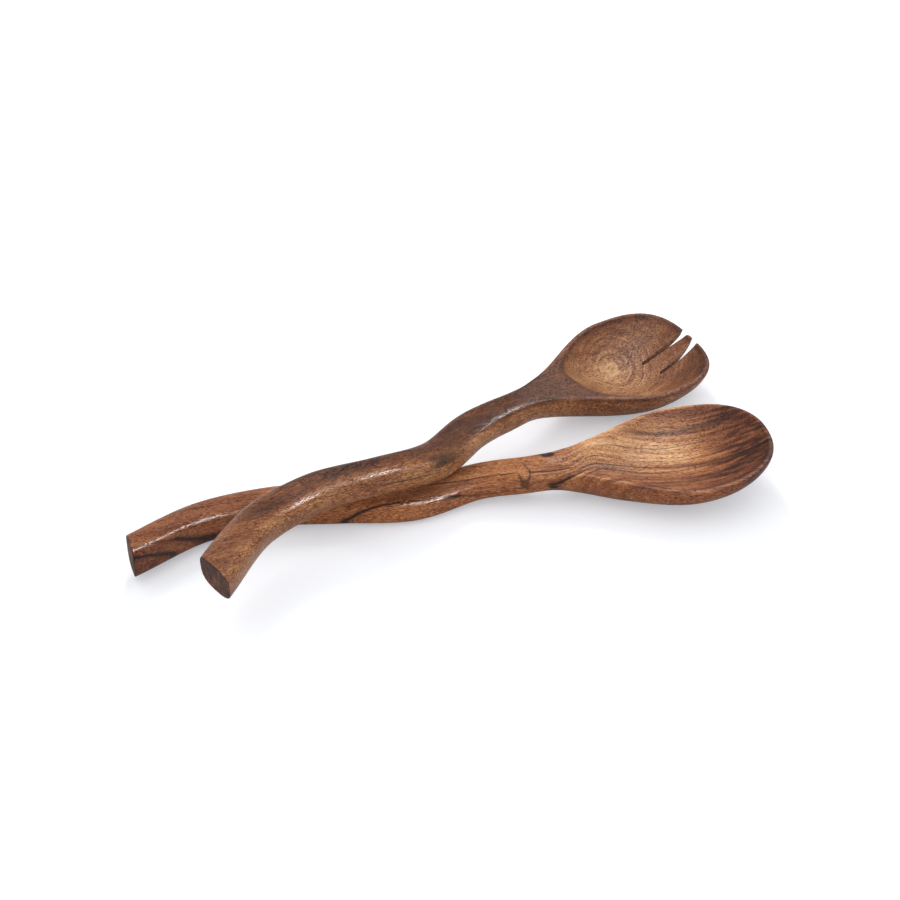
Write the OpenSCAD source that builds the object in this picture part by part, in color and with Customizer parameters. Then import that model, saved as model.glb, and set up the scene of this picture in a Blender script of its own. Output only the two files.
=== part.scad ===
// Pair of carved wooden salad servers: a serving spoon and a serving fork with three tines.
// Their handles wave from side to side, and the fork lies across the spoon's handle.
//
// Millimetres. +X runs along the spoon, from the end of its handle to the tip of its bowl.
// +Z is up. The origin is on the table, under the middle of the pair.
//
// Each server is worked out lying along +X with its handle's end at x = 0 and its bowl's
// axis on y = 0. Lists of sizes hold values at equal steps from the handle's end to the
// neck, and a smooth curve runs through them.

/* [Both servers] */
// Length of a server, from the end of its handle to the tip of its bowl
server_length = 310; // [290:1:330]
// Length of a bowl, from the neck to the tip
bowl_length = 113; // [100:1:125]
// Angle of the sawn end of a handle, off square to the server's length
end_angle = 11.5; // [-5:0.5:25]
// Radius that rounds the rim of a bowl over to its outside
rim_round = 1.6; // [0.8:0.1:2.4]
// Width of the rim, from the outline of a bowl to the edge of its hollow
rim_width = 2.4; // [1.5:0.1:4]

/* [Spoon's handle] */
// Sideways place of the handle at six steps from its end; the neck is on the axis
spoon_sway = [-32.5, -8.5, 0, -3, -5, 4]; // [-45:0.5:15]
// Height of the handle's underside above the table at five steps, end to neck
spoon_under = [3, 0, 0.3, 0, 5]; // [0:0.1:8]
// Thickness of the handle at the same five steps
spoon_thickness = [17.5, 15.5, 15, 12, 14]; // [10:0.5:20]
// Width of the handle at the same five steps
spoon_width = [15, 19, 19, 20, 19]; // [14:0.5:24]

/* [Spoon's bowl] */
// Width of the bowl at its widest
spoon_bowl_width = 72; // [60:0.5:85]
// Distance from the neck to the bowl's widest place
spoon_widest = 72; // [60:1:80]
// Fullness of the bowl's front: 2 is an ellipse, more is squarer
spoon_front = 2.25; // [2:0.05:3]
// Height of the rim above the table at a third, at two thirds and at the tip of the bowl
spoon_rim = [18.5, 20, 25.5]; // [16:0.5:30]
// Distance from the neck to where the bowl's underside reaches the table
spoon_foot = 37; // [25:1:55]
// Depth of the hollow below the rim
spoon_hollow = 14.5; // [8:0.5:16]
// Distance from the neck back into the handle at which the hollow fades out
spoon_fade = 6; // [-20:1:12]
// Fullness of the hollow's end towards the neck: 2 is an ellipse, more is squarer
spoon_rear = 2; // [2:0.1:5]
// Softness of the hollow's edge towards the neck: 1 is a crease, 2 is gradual
spoon_fade_soft = 2; // [1:0.1:3]

/* [Fork's handle] */
// Sideways place of the handle at six steps from its end; the neck is on the axis
fork_sway = [-37, -14.5, -7.5, -13, -13.5, -2.5]; // [-45:0.5:15]
// Height of the handle's underside at five steps, before the fork is tilted to rest
fork_under = [0, -2, 3.5, 2, 3.5]; // [-3:0.5:8]
// Thickness of the handle at the same five steps
fork_thickness = [18, 15.5, 16, 14, 16.5]; // [10:0.5:20]
// Width of the handle at the same five steps
fork_width = [17.5, 18.5, 16, 19.5, 15]; // [14:0.5:24]
// How far the sawn end leans out over its lower edge, off upright
fork_end_lean = 14; // [0:1:20]

/* [Fork's bowl] */
// Width of the bowl at its widest
fork_bowl_width = 63.5; // [55:0.5:78]
// Distance from the neck to the bowl's widest place
fork_widest = 73.5; // [62:0.5:82]
// Fullness of the bowl's front: 2 is an ellipse, more is squarer
fork_front = 2.8; // [2:0.05:3]
// Height of the rim at a third, at two thirds and at the tip of the bowl
fork_rim = [21.5, 23.5, 26.5]; // [16:0.5:30]
// Distance from the neck to the lowest place of the bowl's underside
fork_foot = 51; // [30:1:60]
// Depth of the hollow below the rim
fork_hollow = 17; // [8:0.5:18]
// Distance from the neck back into the handle at which the hollow starts; negative is forward
fork_fade = -29; // [-35:0.5:5]
// Fullness of the hollow's end towards the neck: 2 is an ellipse, more is squarer
fork_rear = 4.5; // [2:0.1:6]
// Slant of that end: how much further forward it lies, per width towards the spoon's side
fork_slant = 0.24; // [-0.4:0.01:0.4]
// Softness of the hollow's edge towards the neck: 1 is a crease, 2 is gradual
fork_fade_soft = 1.3; // [1:0.1:3]

/* [Tines] */
// Length of the slots on the spoon's side and on the other, from the root to the bowl's tip
slot_length = [22.5, 25.5]; // [15:0.5:40]
// Distance of the same two slots' roots from the bowl's axis
root_place = [5.8, 5.2]; // [3.5:0.1:8]
// Width of a slot at its root
root_width = 2.4; // [1:0.1:3]
// Width of the same two slots at the bowl's tip
slot_mouth = [5.5, 6.6]; // [4:0.1:9]
// How late a slot opens on its way to the tip: 1 is a straight V, and 3 follows the cube
slot_flare = 3; // [1:0.1:4]
// Sideways place of the middle tine's point
middle_place = -1; // [-2:0.1:2]
// Width of the middle tine's point
middle_point = 1.2; // [0.6:0.1:2.5]

/* [How the pair lies] */
// Angle between the fork's bowl and the spoon's
fork_turn = 28; // [22:1:34]
// Lean of the fork to the spoon's side, about its own length
fork_roll = 11; // [0:0.5:14]
// Room between the sides of the two bowls, across the spoon's length
bowl_gap = 11; // [6:1:30]
// How far the fork's bowl lies behind the spoon's
fork_back = 10.5; // [0:0.5:30]
// Clearance left between the fork's handle and the spoon's where they cross
rest_gap = 0.65; // [0.4:0.05:1.5]

/* [Hidden] */

// Cross-sections along the handle and along the bowl, and points round each of them
HANDLE_RINGS = 38;
BOWL_RINGS = 42;
UNDER_STEPS = 18;
TOP_STEPS = 20;
// Length over which the handle turns into the bowl, to each side of the neck
NECK_BLEND = 12;
// Length over which the sections turn from the sawn end to square across the handle
END_BLEND = 30;
// Fullness of the handle's lower face, of its upper face and of the bowl: 2 is an ellipse
LOWER_FULL = 2.7;
UPPER_FULL = 4;
BOWL_FULL = 2.2;
// How blunt the underside rises to the tip, and how full it is on the way
TIP_BLUNT = 0.68;
TIP_FULL = 2.2;
// Steepness of the hollow's wall below the rim: under 1 is steeper than a parabola
WALL_STEEP = 0.85;
// Distance back from the tip to the middle of a bowl, about which the fork is placed
BOWL_MIDDLE = 50;
// Share of the spoon handle's half width that counts as its upper face
UPPER_FACE = 0.98;
// Straight pieces in each wall of a slot
SLOT_STEPS = 10;
// How far the shapes that cut the slots reach past the wood
REACH = 40;
// Tilts of the fork between which it comes to rest, and the most tries at finding it
LOW_TILT = 0;
HIGH_TILT = 12;
TILT_TRIES = 12;
// How near the clearance at the crossing comes to the one asked for
TILT_ERROR = 0.001;

handle_length = server_length - bowl_length;
WOOD_WARM = [0.52, 0.31, 0.19];
WOOD_BROWN = [0.46, 0.30, 0.20];

// A server's sizes in the order in which the functions below name them
spoon = [spoon_sway, spoon_under, spoon_thickness, spoon_width, spoon_bowl_width, spoon_widest,
    spoon_front, spoon_rim, spoon_foot, spoon_hollow, spoon_fade, spoon_fade_soft, spoon_rear, 0, 0];
fork = [fork_sway, fork_under, fork_thickness, fork_width, fork_bowl_width, fork_widest,
    fork_front, fork_rim, fork_foot, fork_hollow, fork_fade, fork_fade_soft, fork_rear, fork_slant,
    fork_end_lean];
function sways(s) = concat(s[0], [0, 0, 0]);
function unders(s) = s[1];
function thicknesses(s) = s[2];
function half_widths(s) = s[3] / 2;
function bowl_half(s) = s[4] / 2;
function widest(s) = s[5];
function front(s) = s[6];
function rims(s) = s[7];
function foot(s) = s[8];
function hollow(s) = s[9];
function fade(s) = s[10];
function fade_soft(s) = s[11];
function rear(s) = s[12];
function slant(s) = s[13];
function end_lean(s) = s[14];

function clip(t) = min(max(t, 0), 1);
function ease(t) = let(c = clip(t)) c * c * (3 - 2 * c);
function mix(a, b, t) = a + (b - a) * t;
function last(v) = v[len(v) - 1];
function power(base, p) = pow(max(base, 0), p);

// Height over a unit half width v of a curve that is full by n: 1 in the middle, 0 at the side
function arch(v, n) = power(1 - power(abs(v), n), 1 / n);

// Smooth curve through the values v at equal steps, at t from 0 to 1
function along(v, t) =
    let(
        n = len(v) - 1,
        p = clip(t) * n,
        i = min(floor(p), n - 1),
        f = p - i,
        b = v[i],
        c = v[i + 1],
        a = i == 0 ? 2 * b - c : v[i - 1],
        d = v[min(i + 2, n)]
    )
    b + 0.5 * f * (c - a + f * (2 * a - 5 * b + 4 * c - d + f * (3 * (b - c) + d - a)));

// Shares of the way along the handle and along the bowl, and the share that is bowl
function on_handle(x) = clip(x / handle_length);
function on_bowl(x) = clip((x - handle_length) / bowl_length);
function as_bowl(x) = ease((x - handle_length + NECK_BLEND) / (2 * NECK_BLEND));

// Middle line, seen from above: the sways reach the neck at step len - 3 and run on straight
function sway(s, x) =
    let(v = sways(s), reach = handle_length * (len(v) - 1) / (len(v) - 3))
    along(v, x / reach);
function heading(s, x) = let(a = max(x - 1, 0)) atan((sway(s, x + 1) - sway(s, a)) / (x + 1 - a));
function section_turn(s, x) = mix(heading(s, x), end_angle, ease(1 - x / END_BLEND));

// Half width of the bowl: eased out from the neck to the widest place, then a full front
function bowl_width_at(s, x) =
    let(b = x - handle_length, front_share = clip((b - widest(s)) / (bowl_length - widest(s))))
    b <= widest(s)
        ? mix(last(half_widths(s)), bowl_half(s), ease(b / widest(s)))
        : bowl_half(s) * arch(front_share, front(s));
function half_width(s, x) = mix(along(half_widths(s), on_handle(x)), bowl_width_at(s, x), as_bowl(x));

// Heights: the top of the handle or rim, the widest line round the side, and the underside
function neck_height(s) = last(unders(s)) + last(thicknesses(s));
function handle_top(s, x) = along(unders(s) + thicknesses(s), on_handle(x));
function rim_height(s, x) = along(concat([neck_height(s)], rims(s)), on_bowl(x));
function top_height(s, x) = mix(handle_top(s, x), rim_height(s, x), as_bowl(x));
function shoulder(s, x) = mix(along(thicknesses(s), on_handle(x)) / 2, rim_round, as_bowl(x));
function side_height(s, x) = top_height(s, x) - shoulder(s, x);
function bowl_under(s, x) =
    let(b = x - handle_length, rise = clip((b - foot(s)) / (bowl_length - foot(s))))
    b < foot(s)
        ? last(unders(s)) * (1 - ease(b / foot(s)))
        : side_height(s, x) * (1 - power(1 - power(rise, TIP_FULL), TIP_BLUNT));
function under_height(s, x) = mix(along(unders(s), on_handle(x)), bowl_under(s, x), as_bowl(x));
function lower_full(x) = mix(LOWER_FULL, BOWL_FULL, as_bowl(x));
function upper_full(x) = mix(UPPER_FULL, BOWL_FULL, as_bowl(x));

// Share of the way from the middle of the bowl, 0, to its outline, 1, at half-width share v
function to_outline(s, x, v) =
    let(ahead = clip((x - handle_length - widest(s)) / (bowl_length - widest(s))))
    power(
        power(abs(v) * half_width(s, x) / max(half_width(s, x), ahead > 0 ? bowl_half(s) : 0), front(s))
        + power(ahead, front(s)),
        1 / front(s));

// The hollow: deepest at the bowl's widest place, as full as the bowl in front of that and
// with an end and an edge of its own towards the neck
function hollow_depth(s, x, v) =
    let(
        b = x - handle_length,
        y = v * half_width(s, x),
        ahead = b > widest(s),
        inner = (ahead ? bowl_half(s) : half_width(s, x)) - rim_width,
        across = abs(y) / inner,
        reach = ahead ? bowl_length - rim_width - widest(s) : widest(s) + fade(s) + slant(s) * y,
        lengthwise = abs(b - widest(s)) / reach,
        full = ahead ? front(s) : rear(s),
        edge = power(across, full) + power(lengthwise, full),
        soft = ahead ? WALL_STEEP : mix(WALL_STEEP, fade_soft(s), ease(lengthwise))
    )
    hollow(s) * power(1 - power(edge, 2 / full), soft);

// Height of the upper face at half-width share v, and of the lower face
function upper_face(s, x, v) =
    let(
        across = x > handle_length + widest(s) ? bowl_half(s) : half_width(s, x),
        to_edge = (1 - to_outline(s, x, v)) * across,
        rounded = sqrt(1 - pow(1 - clip(to_edge / rim_round), 2))
    )
    side_height(s, x)
    + shoulder(s, x) * mix(arch(v, upper_full(x)), rounded, as_bowl(x))
    - as_bowl(x) * hollow_depth(s, x, v);
function lower_face(s, x, v) =
    side_height(s, x) - (side_height(s, x) - under_height(s, x)) * arch(v, lower_full(x));

// A point of the section at x, at half-width share v and height z: near the sawn end the
// sections turn to its angle, and lean out from their lowest point as it does
function section_point(s, x, v, z) =
    let(
        turn = section_turn(s, x),
        reach = v * half_width(s, x) / cos(heading(s, x) - turn),
        out = (z - under_height(s, x)) * tan(end_lean(s)) * ease(1 - x / END_BLEND)
    )
    [x - reach * sin(turn) - out, sway(s, x) + reach * cos(turn), z];
function round_share(angle, n) = sign(cos(angle)) * power(abs(cos(angle)), 2 / n);

function section(s, x) = [
    for (i = [0 : UNDER_STEPS])
        let(v = round_share(180 * i / UNDER_STEPS, lower_full(x)))
        section_point(s, x, v, lower_face(s, x, v)),
    for (i = [1 : TOP_STEPS - 1])
        let(v = -cos(180 * i / TOP_STEPS))
        section_point(s, x, v, upper_face(s, x, v)),
];

STATIONS = [
    for (i = [0 : HANDLE_RINGS - 1]) handle_length * i / HANDLE_RINGS,
    for (i = [0 : BOWL_RINGS - 1]) handle_length + bowl_length * (1 - pow(1 - i / BOWL_RINGS, 2)),
];
RING = UNDER_STEPS + TOP_STEPS;

function sections(s) = [for (x = STATIONS) section(s, x)];
function tip(s) = [server_length, 0, side_height(s, server_length)];
function flat(lists) = [for (list = lists) each list];

// Solid through the rings: the sawn end, the sides, and a fan that closes the tip
module carved(points) {
    rings = len(STATIONS);
    polyhedron(
        concat(flat(points[0]), [points[1]]),
        concat(
            [[for (j = [RING - 1 : -1 : 0]) j]],
            [for (i = [0 : rings - 2], j = [0 : RING - 1])
                let(k = (j + 1) % RING)
                each [
                    [i * RING + j, (i + 1) * RING + k, (i + 1) * RING + j],
                    [i * RING + j, i * RING + k, (i + 1) * RING + k],
                ]],
            [for (j = [0 : RING - 1])
                [(rings - 1) * RING + j, (rings - 1) * RING + (j + 1) % RING, rings * RING]]
        ),
        convexity = 6
    );
}

// One wall of a slot, seen from above, from the root to the tip or back as the steps say
function slot_wall(which, at_root, mouth, steps) = [
    for (i = steps)
        let(t = i / SLOT_STEPS)
        [server_length - slot_length[which] * (1 - t), mix(at_root, mouth, pow(t, slot_flare))]
];

// One slot, from its root past the tip: 0 is the slot on the spoon's side, 1 the other
module slot(which) {
    side = which == 0 ? -1 : 1;
    past = server_length + REACH;
    inner = middle_place + side * middle_point / 2;
    outer = inner + side * slot_mouth[which];
    inner_root = side * (root_place[which] - root_width / 2);
    outer_root = side * (root_place[which] + root_width / 2);
    translate([0, 0, -REACH])
        linear_extrude(2 * REACH)
            polygon(concat(
                slot_wall(which, inner_root, inner, [0 : SLOT_STEPS]),
                [[past, inner], [past, outer]],
                slot_wall(which, outer_root, outer, [SLOT_STEPS : -1 : 0])
            ));
}

// How the fork comes to rest: its bowl stands on the table and its handle on the spoon's
fork_pivot = [server_length - BOWL_MIDDLE, 0, 0];
bowls_apart = (spoon_bowl_width + fork_bowl_width) / 2 + bowl_gap;
fork_place = [server_length - BOWL_MIDDLE - fork_back, bowls_apart, 0];
function rolled(p) =
    [p.x, p.y * cos(fork_roll) - p.z * sin(fork_roll), p.y * sin(fork_roll) + p.z * cos(fork_roll)];
function tilted(p, tilt) = [p.x * cos(tilt) + p.z * sin(tilt), p.y, p.z * cos(tilt) - p.x * sin(tilt)];
function turned(p) =
    [p.x * cos(fork_turn) - p.y * sin(fork_turn), p.x * sin(fork_turn) + p.y * cos(fork_turn), p.z];
function posed(p, tilt) = turned(tilted(rolled(p - fork_pivot), tilt)) + fork_place;

// Height of the spoon's handle above the point p, or far below where p isn't over it
function spoon_below(p) =
    let(v = (p.y - sway(spoon, p.x)) * cos(heading(spoon, p.x)) / half_width(spoon, p.x))
    p.x < 0 || p.x > handle_length || abs(v) > UPPER_FACE
        ? -server_length
        : spoon_floor + side_height(spoon, p.x) + shoulder(spoon, p.x) * arch(v, upper_full(p.x));

spoon_sections = sections(spoon);
fork_sections = sections(fork);
spoon_floor = -min([for (p = flat(spoon_sections)) p.z]);
function underside(rings) = [for (i = rings, j = [0 : UNDER_STEPS]) fork_sections[i][j]];
fork_handle_face = underside([0 : HANDLE_RINGS - 1]);
fork_bowl_face = underside([HANDLE_RINGS : HANDLE_RINGS + BOWL_RINGS - 1]);
function fork_lift(tilt) = -min([for (p = fork_bowl_face) posed(p, tilt).z]);
function crossing_gap(tilt) =
    min([for (p = fork_handle_face) let(q = posed(p, tilt)) q.z - spoon_below(q)]) + fork_lift(tilt);
// The tilt that leaves rest_gap at the crossing, found by false position between two tilts
function rest_tilt(low, low_gap, high, high_gap, tries) =
    let(
        tilt = low + (high - low) * (rest_gap - low_gap) / (high_gap - low_gap),
        gap = crossing_gap(tilt)
    )
    tries == 0 || abs(gap - rest_gap) < TILT_ERROR
        ? tilt
        : (gap - rest_gap) * (low_gap - rest_gap) > 0
            ? rest_tilt(tilt, gap, high, high_gap, tries - 1)
            : rest_tilt(low, low_gap, tilt, gap, tries - 1);
fork_tilt =
    rest_tilt(LOW_TILT, crossing_gap(LOW_TILT), HIGH_TILT, crossing_gap(HIGH_TILT), TILT_TRIES);

// The middle of the pair, seen from above
pair_points = concat(
    flat(spoon_sections),
    [for (p = flat(fork_sections)) posed(p, fork_tilt)],
    [tip(spoon), posed(tip(fork), fork_tilt)]
);
pair_xs = [for (p = pair_points) p.x];
pair_ys = [for (p = pair_points) p.y];
pair_middle = [(min(pair_xs) + max(pair_xs)) / 2, (min(pair_ys) + max(pair_ys)) / 2, 0];

module salad_spoon() {
    color(WOOD_WARM)
        translate(-pair_middle + [0, 0, spoon_floor])
            carved([spoon_sections, tip(spoon)]);
}

module salad_fork() {
    color(WOOD_BROWN)
        translate(fork_place - pair_middle + [0, 0, fork_lift(fork_tilt)])
            rotate([fork_roll, fork_tilt, fork_turn])
                translate(-fork_pivot)
                    difference() {
                        carved([fork_sections, tip(fork)]);
                        slot(0);
                        slot(1);
                    }
}

salad_spoon();
salad_fork();
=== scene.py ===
import math

import bmesh
import bpy
import numpy as np
from bpy.props import FloatProperty, FloatVectorProperty, PointerProperty
from mathutils import Euler, Matrix, Vector


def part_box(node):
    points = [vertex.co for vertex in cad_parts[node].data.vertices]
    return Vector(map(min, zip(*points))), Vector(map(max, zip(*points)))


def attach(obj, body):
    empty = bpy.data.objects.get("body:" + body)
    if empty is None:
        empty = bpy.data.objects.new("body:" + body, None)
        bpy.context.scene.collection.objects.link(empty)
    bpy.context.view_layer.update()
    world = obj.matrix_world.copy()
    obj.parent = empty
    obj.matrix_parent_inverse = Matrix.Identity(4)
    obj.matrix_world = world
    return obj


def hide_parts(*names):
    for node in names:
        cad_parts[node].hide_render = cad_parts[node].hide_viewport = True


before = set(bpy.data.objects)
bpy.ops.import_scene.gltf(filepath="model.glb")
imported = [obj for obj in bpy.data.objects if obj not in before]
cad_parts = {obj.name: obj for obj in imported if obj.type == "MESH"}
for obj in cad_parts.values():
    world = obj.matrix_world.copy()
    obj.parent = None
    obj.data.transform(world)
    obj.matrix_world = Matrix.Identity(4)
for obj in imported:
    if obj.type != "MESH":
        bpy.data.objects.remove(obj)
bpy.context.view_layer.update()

bl_info = {
    "name": "Carved salad servers",
    "version": (1, 0, 0),
    "blender": (4, 5, 0),
    "location": "3D View > Sidebar > Servers",
    "description": "A carved wooden serving spoon and serving fork, with their grain and oiled finish",
    "category": "Add Mesh",
}

MM = 0.001

# How finely a server is cut: rings along it, and points round the two faces of a ring
HANDLE_RINGS = 190
BOWL_RINGS = 150
UNDER_POINTS = 76
TOP_POINTS = 120
END_RINGS = 8
CAP_RINGS = 14


# ---------------------------------------------------------------- sizes and colours

def linear(hex_colour):
    """Linear red, green and blue of an sRGB colour such as "#8a5a3c"."""
    shares = (int(hex_colour[i:i + 2], 16) / 255 for i in (1, 3, 5))
    return tuple(c / 12.92 if c <= 0.04045 else ((c + 0.055) / 1.055) ** 2.4 for c in shares)


def length(name, description, default):
    """A length, given in millimetres and kept in metres."""
    return FloatProperty(
        name=name, description=description, default=default * MM, unit="LENGTH", precision=4
    )


def lengths(name, description, *defaults):
    """Several lengths at equal steps, given in millimetres and kept in metres."""
    values = [value * MM for value in defaults]
    return FloatVectorProperty(
        name=name, description=description, size=len(values), default=values, unit="LENGTH", precision=4
    )


def angle(name, description, default):
    """An angle, given in degrees and kept in radians."""
    return FloatProperty(name=name, description=description, default=math.radians(default), unit="ROTATION")


def share(name, description, default):
    """A plain number."""
    return FloatProperty(name=name, description=description, default=default, precision=3)


def colour(name, description, hex_colour):
    """A colour, given as sRGB hex and kept linear."""
    return FloatVectorProperty(
        name=name, description=description, subtype="COLOR", size=3, min=0, max=1, default=linear(hex_colour)
    )


class SpoonSizes(bpy.types.PropertyGroup):
    """Sizes of the serving spoon, worked out lying along +X with its handle's end at 0."""

    sway: lengths("Sway", "Sideways place of the handle at six steps from its end", -32.5, -8.5, 0, -3, -5, 4)
    under: lengths("Underside", "Height of the handle's underside at five steps", 3, 0, 0.3, 0, 5)
    thick: lengths("Thickness", "Thickness of the handle at five steps", 17.5, 15.5, 15, 12, 14)
    width: lengths("Width", "Width of the handle at five steps", 15, 19, 19, 20, 19)
    bowl_width: length("Bowl width", "Width of the bowl at its widest", 72)
    widest: length("Widest place", "Distance from the neck to the bowl's widest place", 72)
    front: share("Front fullness", "Fullness of the bowl's front: 2 is an ellipse, more is squarer", 2.25)
    rim: lengths("Rim height", "Height of the rim at both thirds of the bowl and its tip", 18.5, 20, 25.5)
    foot: length("Foot", "Distance from the neck to where the underside reaches its lowest", 37)
    hollow: length("Hollow", "Depth of the hollow below the rim", 14.5)
    fade: length("Hollow's end", "How far behind the neck the hollow starts", 6)
    fade_soft: share("Edge softness", "Softness of the hollow's edge towards the neck", 2)
    rear: share("Rear fullness", "Fullness of the hollow's end towards the neck", 2)
    slant: share("Rear slant", "How much further forward that end lies, per width to the near side", 0)
    end_lean: angle("End lean", "How far the sawn end leans out over its lower edge", 0)


class ForkSizes(bpy.types.PropertyGroup):
    """Sizes of the serving fork, worked out in the same way as the spoon."""

    sway: lengths(
        "Sway", "Sideways place of the handle at six steps from its end", -37, -14.5, -7.5, -13, -13.5, -2.5
    )
    under: lengths("Underside", "Height of the handle's underside at five steps", 0, -2, 3.5, 2, 3.5)
    thick: lengths("Thickness", "Thickness of the handle at five steps", 18, 15.5, 16, 14, 16.5)
    width: lengths("Width", "Width of the handle at five steps", 17.5, 18.5, 16, 19.5, 15)
    bowl_width: length("Bowl width", "Width of the bowl at its widest", 63.5)
    widest: length("Widest place", "Distance from the neck to the bowl's widest place", 73.5)
    front: share("Front fullness", "Fullness of the bowl's front: 2 is an ellipse, more is squarer", 2.8)
    rim: lengths("Rim height", "Height of the rim at both thirds of the bowl and its tip", 21.5, 23.5, 26.5)
    foot: length("Foot", "Distance from the neck to where the underside reaches its lowest", 51)
    hollow: length("Hollow", "Depth of the hollow below the rim", 17)
    fade: length("Hollow's end", "How far behind the neck the hollow starts: less than 0 is ahead of it", -29)
    fade_soft: share("Edge softness", "Softness of the hollow's edge towards the neck", 1.3)
    rear: share("Rear fullness", "Fullness of the hollow's end towards the neck", 4.5)
    slant: share("Rear slant", "How much further forward that end lies, per width to the spoon's side", 0.24)
    end_lean: angle("End lean", "How far the sawn end leans out over its lower edge", 14)
    slot_length: lengths("Slot length", "Length of the slot on the spoon's side and of the other", 22.5, 25.5)
    root_place: lengths("Slot root", "Distance of the same slots' roots from the bowl's axis", 5.8, 5.2)
    root_width: length("Root width", "Width of a slot at its root", 2.4)
    slot_mouth: lengths("Slot mouth", "Width of the same slots at the bowl's tip", 5.5, 6.6)
    slot_flare: share("Slot flare", "How late a slot opens on its way to the tip: 1 is a straight V", 3)
    middle_place: length("Middle tine", "Sideways place of the middle tine's point", -1)
    middle_point: length("Middle point", "Width of the middle tine's point", 1.2)
    turn: angle("Turn", "Angle between the fork and the spoon, seen from above", 28)
    roll: angle("Lean", "Lean of the fork to the spoon's side", 11)


class SharedSizes(bpy.types.PropertyGroup):
    """Sizes that both servers have."""

    server_length: length("Length", "Length of a server, from the end of its handle to its tip", 310)
    bowl_length: length("Bowl length", "Length of a bowl, from the neck to the tip", 113)
    end_angle: angle("End angle", "Angle of the sawn end, off square to the server's length", 11.5)
    rim_round: length("Rim rounding", "Radius that rounds the rim over to the outside", 1.6)
    rim_width: length("Rim width", "Width of the rim, from the outline to the hollow", 2.4)
    end_round: length("End rounding", "Radius that softens the edge of the sawn end", 0.5)
    slot_round: length("Slot rounding", "Radius that softens the edges of the slots", 0.35)


class WoodColours(bpy.types.PropertyGroup):
    """Colours of the oiled wood, from its dark lines to its palest layers."""

    spoon_deepest: colour("Spoon, deepest", "Dark lines and knots of the spoon", "#1f100b")
    spoon_dark: colour("Spoon, dark", "Dark layers of the spoon", "#61301b")
    spoon_mid: colour("Spoon, middle", "Most of the spoon", "#985a36")
    spoon_light: colour("Spoon, light", "Light layers of the spoon", "#cb8c58")
    spoon_pale: colour("Spoon, pale", "Palest layers of the spoon", "#ebbb88")
    fork_deepest: colour("Fork, deepest", "Dark lines of the fork", "#22140e")
    fork_dark: colour("Fork, dark", "Dark layer along the top of the fork", "#5a3320")
    fork_mid: colour("Fork, middle", "Sides of the fork", "#8c5432")
    fork_light: colour("Fork, light", "Light layers in the fork's dish", "#bf8c5c")
    fork_pale: colour("Fork, pale", "Palest layers of the fork", "#e4b480")


# ---------------------------------------------------------------- the form of a server

# Half the length over which the handle's section turns into the bowl's
NECK_BLEND = 12 * MM
# Length over which the sections turn from the handle's heading to the sawn end's angle
END_BLEND = 30 * MM
# Half the step over which the handle's heading is measured
SLOPE_STEP = 1 * MM
# Fullness of a section: of the handle's underside, of its top, and of the bowl. 2 is an ellipse.
UNDER_FULL = 2.7
TOP_FULL = 4
BOWL_FULL = 2.2
# How bluntly the underside comes up at the tip, and how late it leaves the table
TIP_BLUNT = 0.68
TIP_FULL = 2.2
# Power of the hollow's wall in front: the lower, the steeper
WALL_STEEP = 0.85


def ease(t):
    """Smooth step: 3 t squared less 2 t cubed, with t held between 0 and 1."""
    t = np.clip(t, 0, 1)
    return t * t * (3 - 2 * t)


def mix(a, b, t):
    """The value the share t of the way from a to b."""
    return a + (b - a) * t


def power(base, exponent):
    """The base, or 0 where it is negative, to the exponent."""
    return np.maximum(base, 0) ** exponent


def arch(v, full):
    """Height of a superellipse over v: the root of 1 less v to the power full."""
    return power(1 - power(np.abs(v), full), 1 / full)


def along(values, t):
    """Catmull-Rom curve through values at equal steps, at t from 0 to 1."""
    values = np.asarray(values)
    last = len(values) - 1
    place = np.clip(t, 0, 1) * last
    i = np.minimum(np.floor(place).astype(int), last - 1)
    f = place - i
    b, c, d = values[i], values[i + 1], values[np.minimum(i + 2, last)]
    a = np.where(i == 0, 2 * b - c, values[np.maximum(i - 1, 0)])
    return b + 0.5 * f * (c - a + f * (2 * a - 5 * b + 4 * c - d + f * (3 * (b - c) + d - a)))


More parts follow.
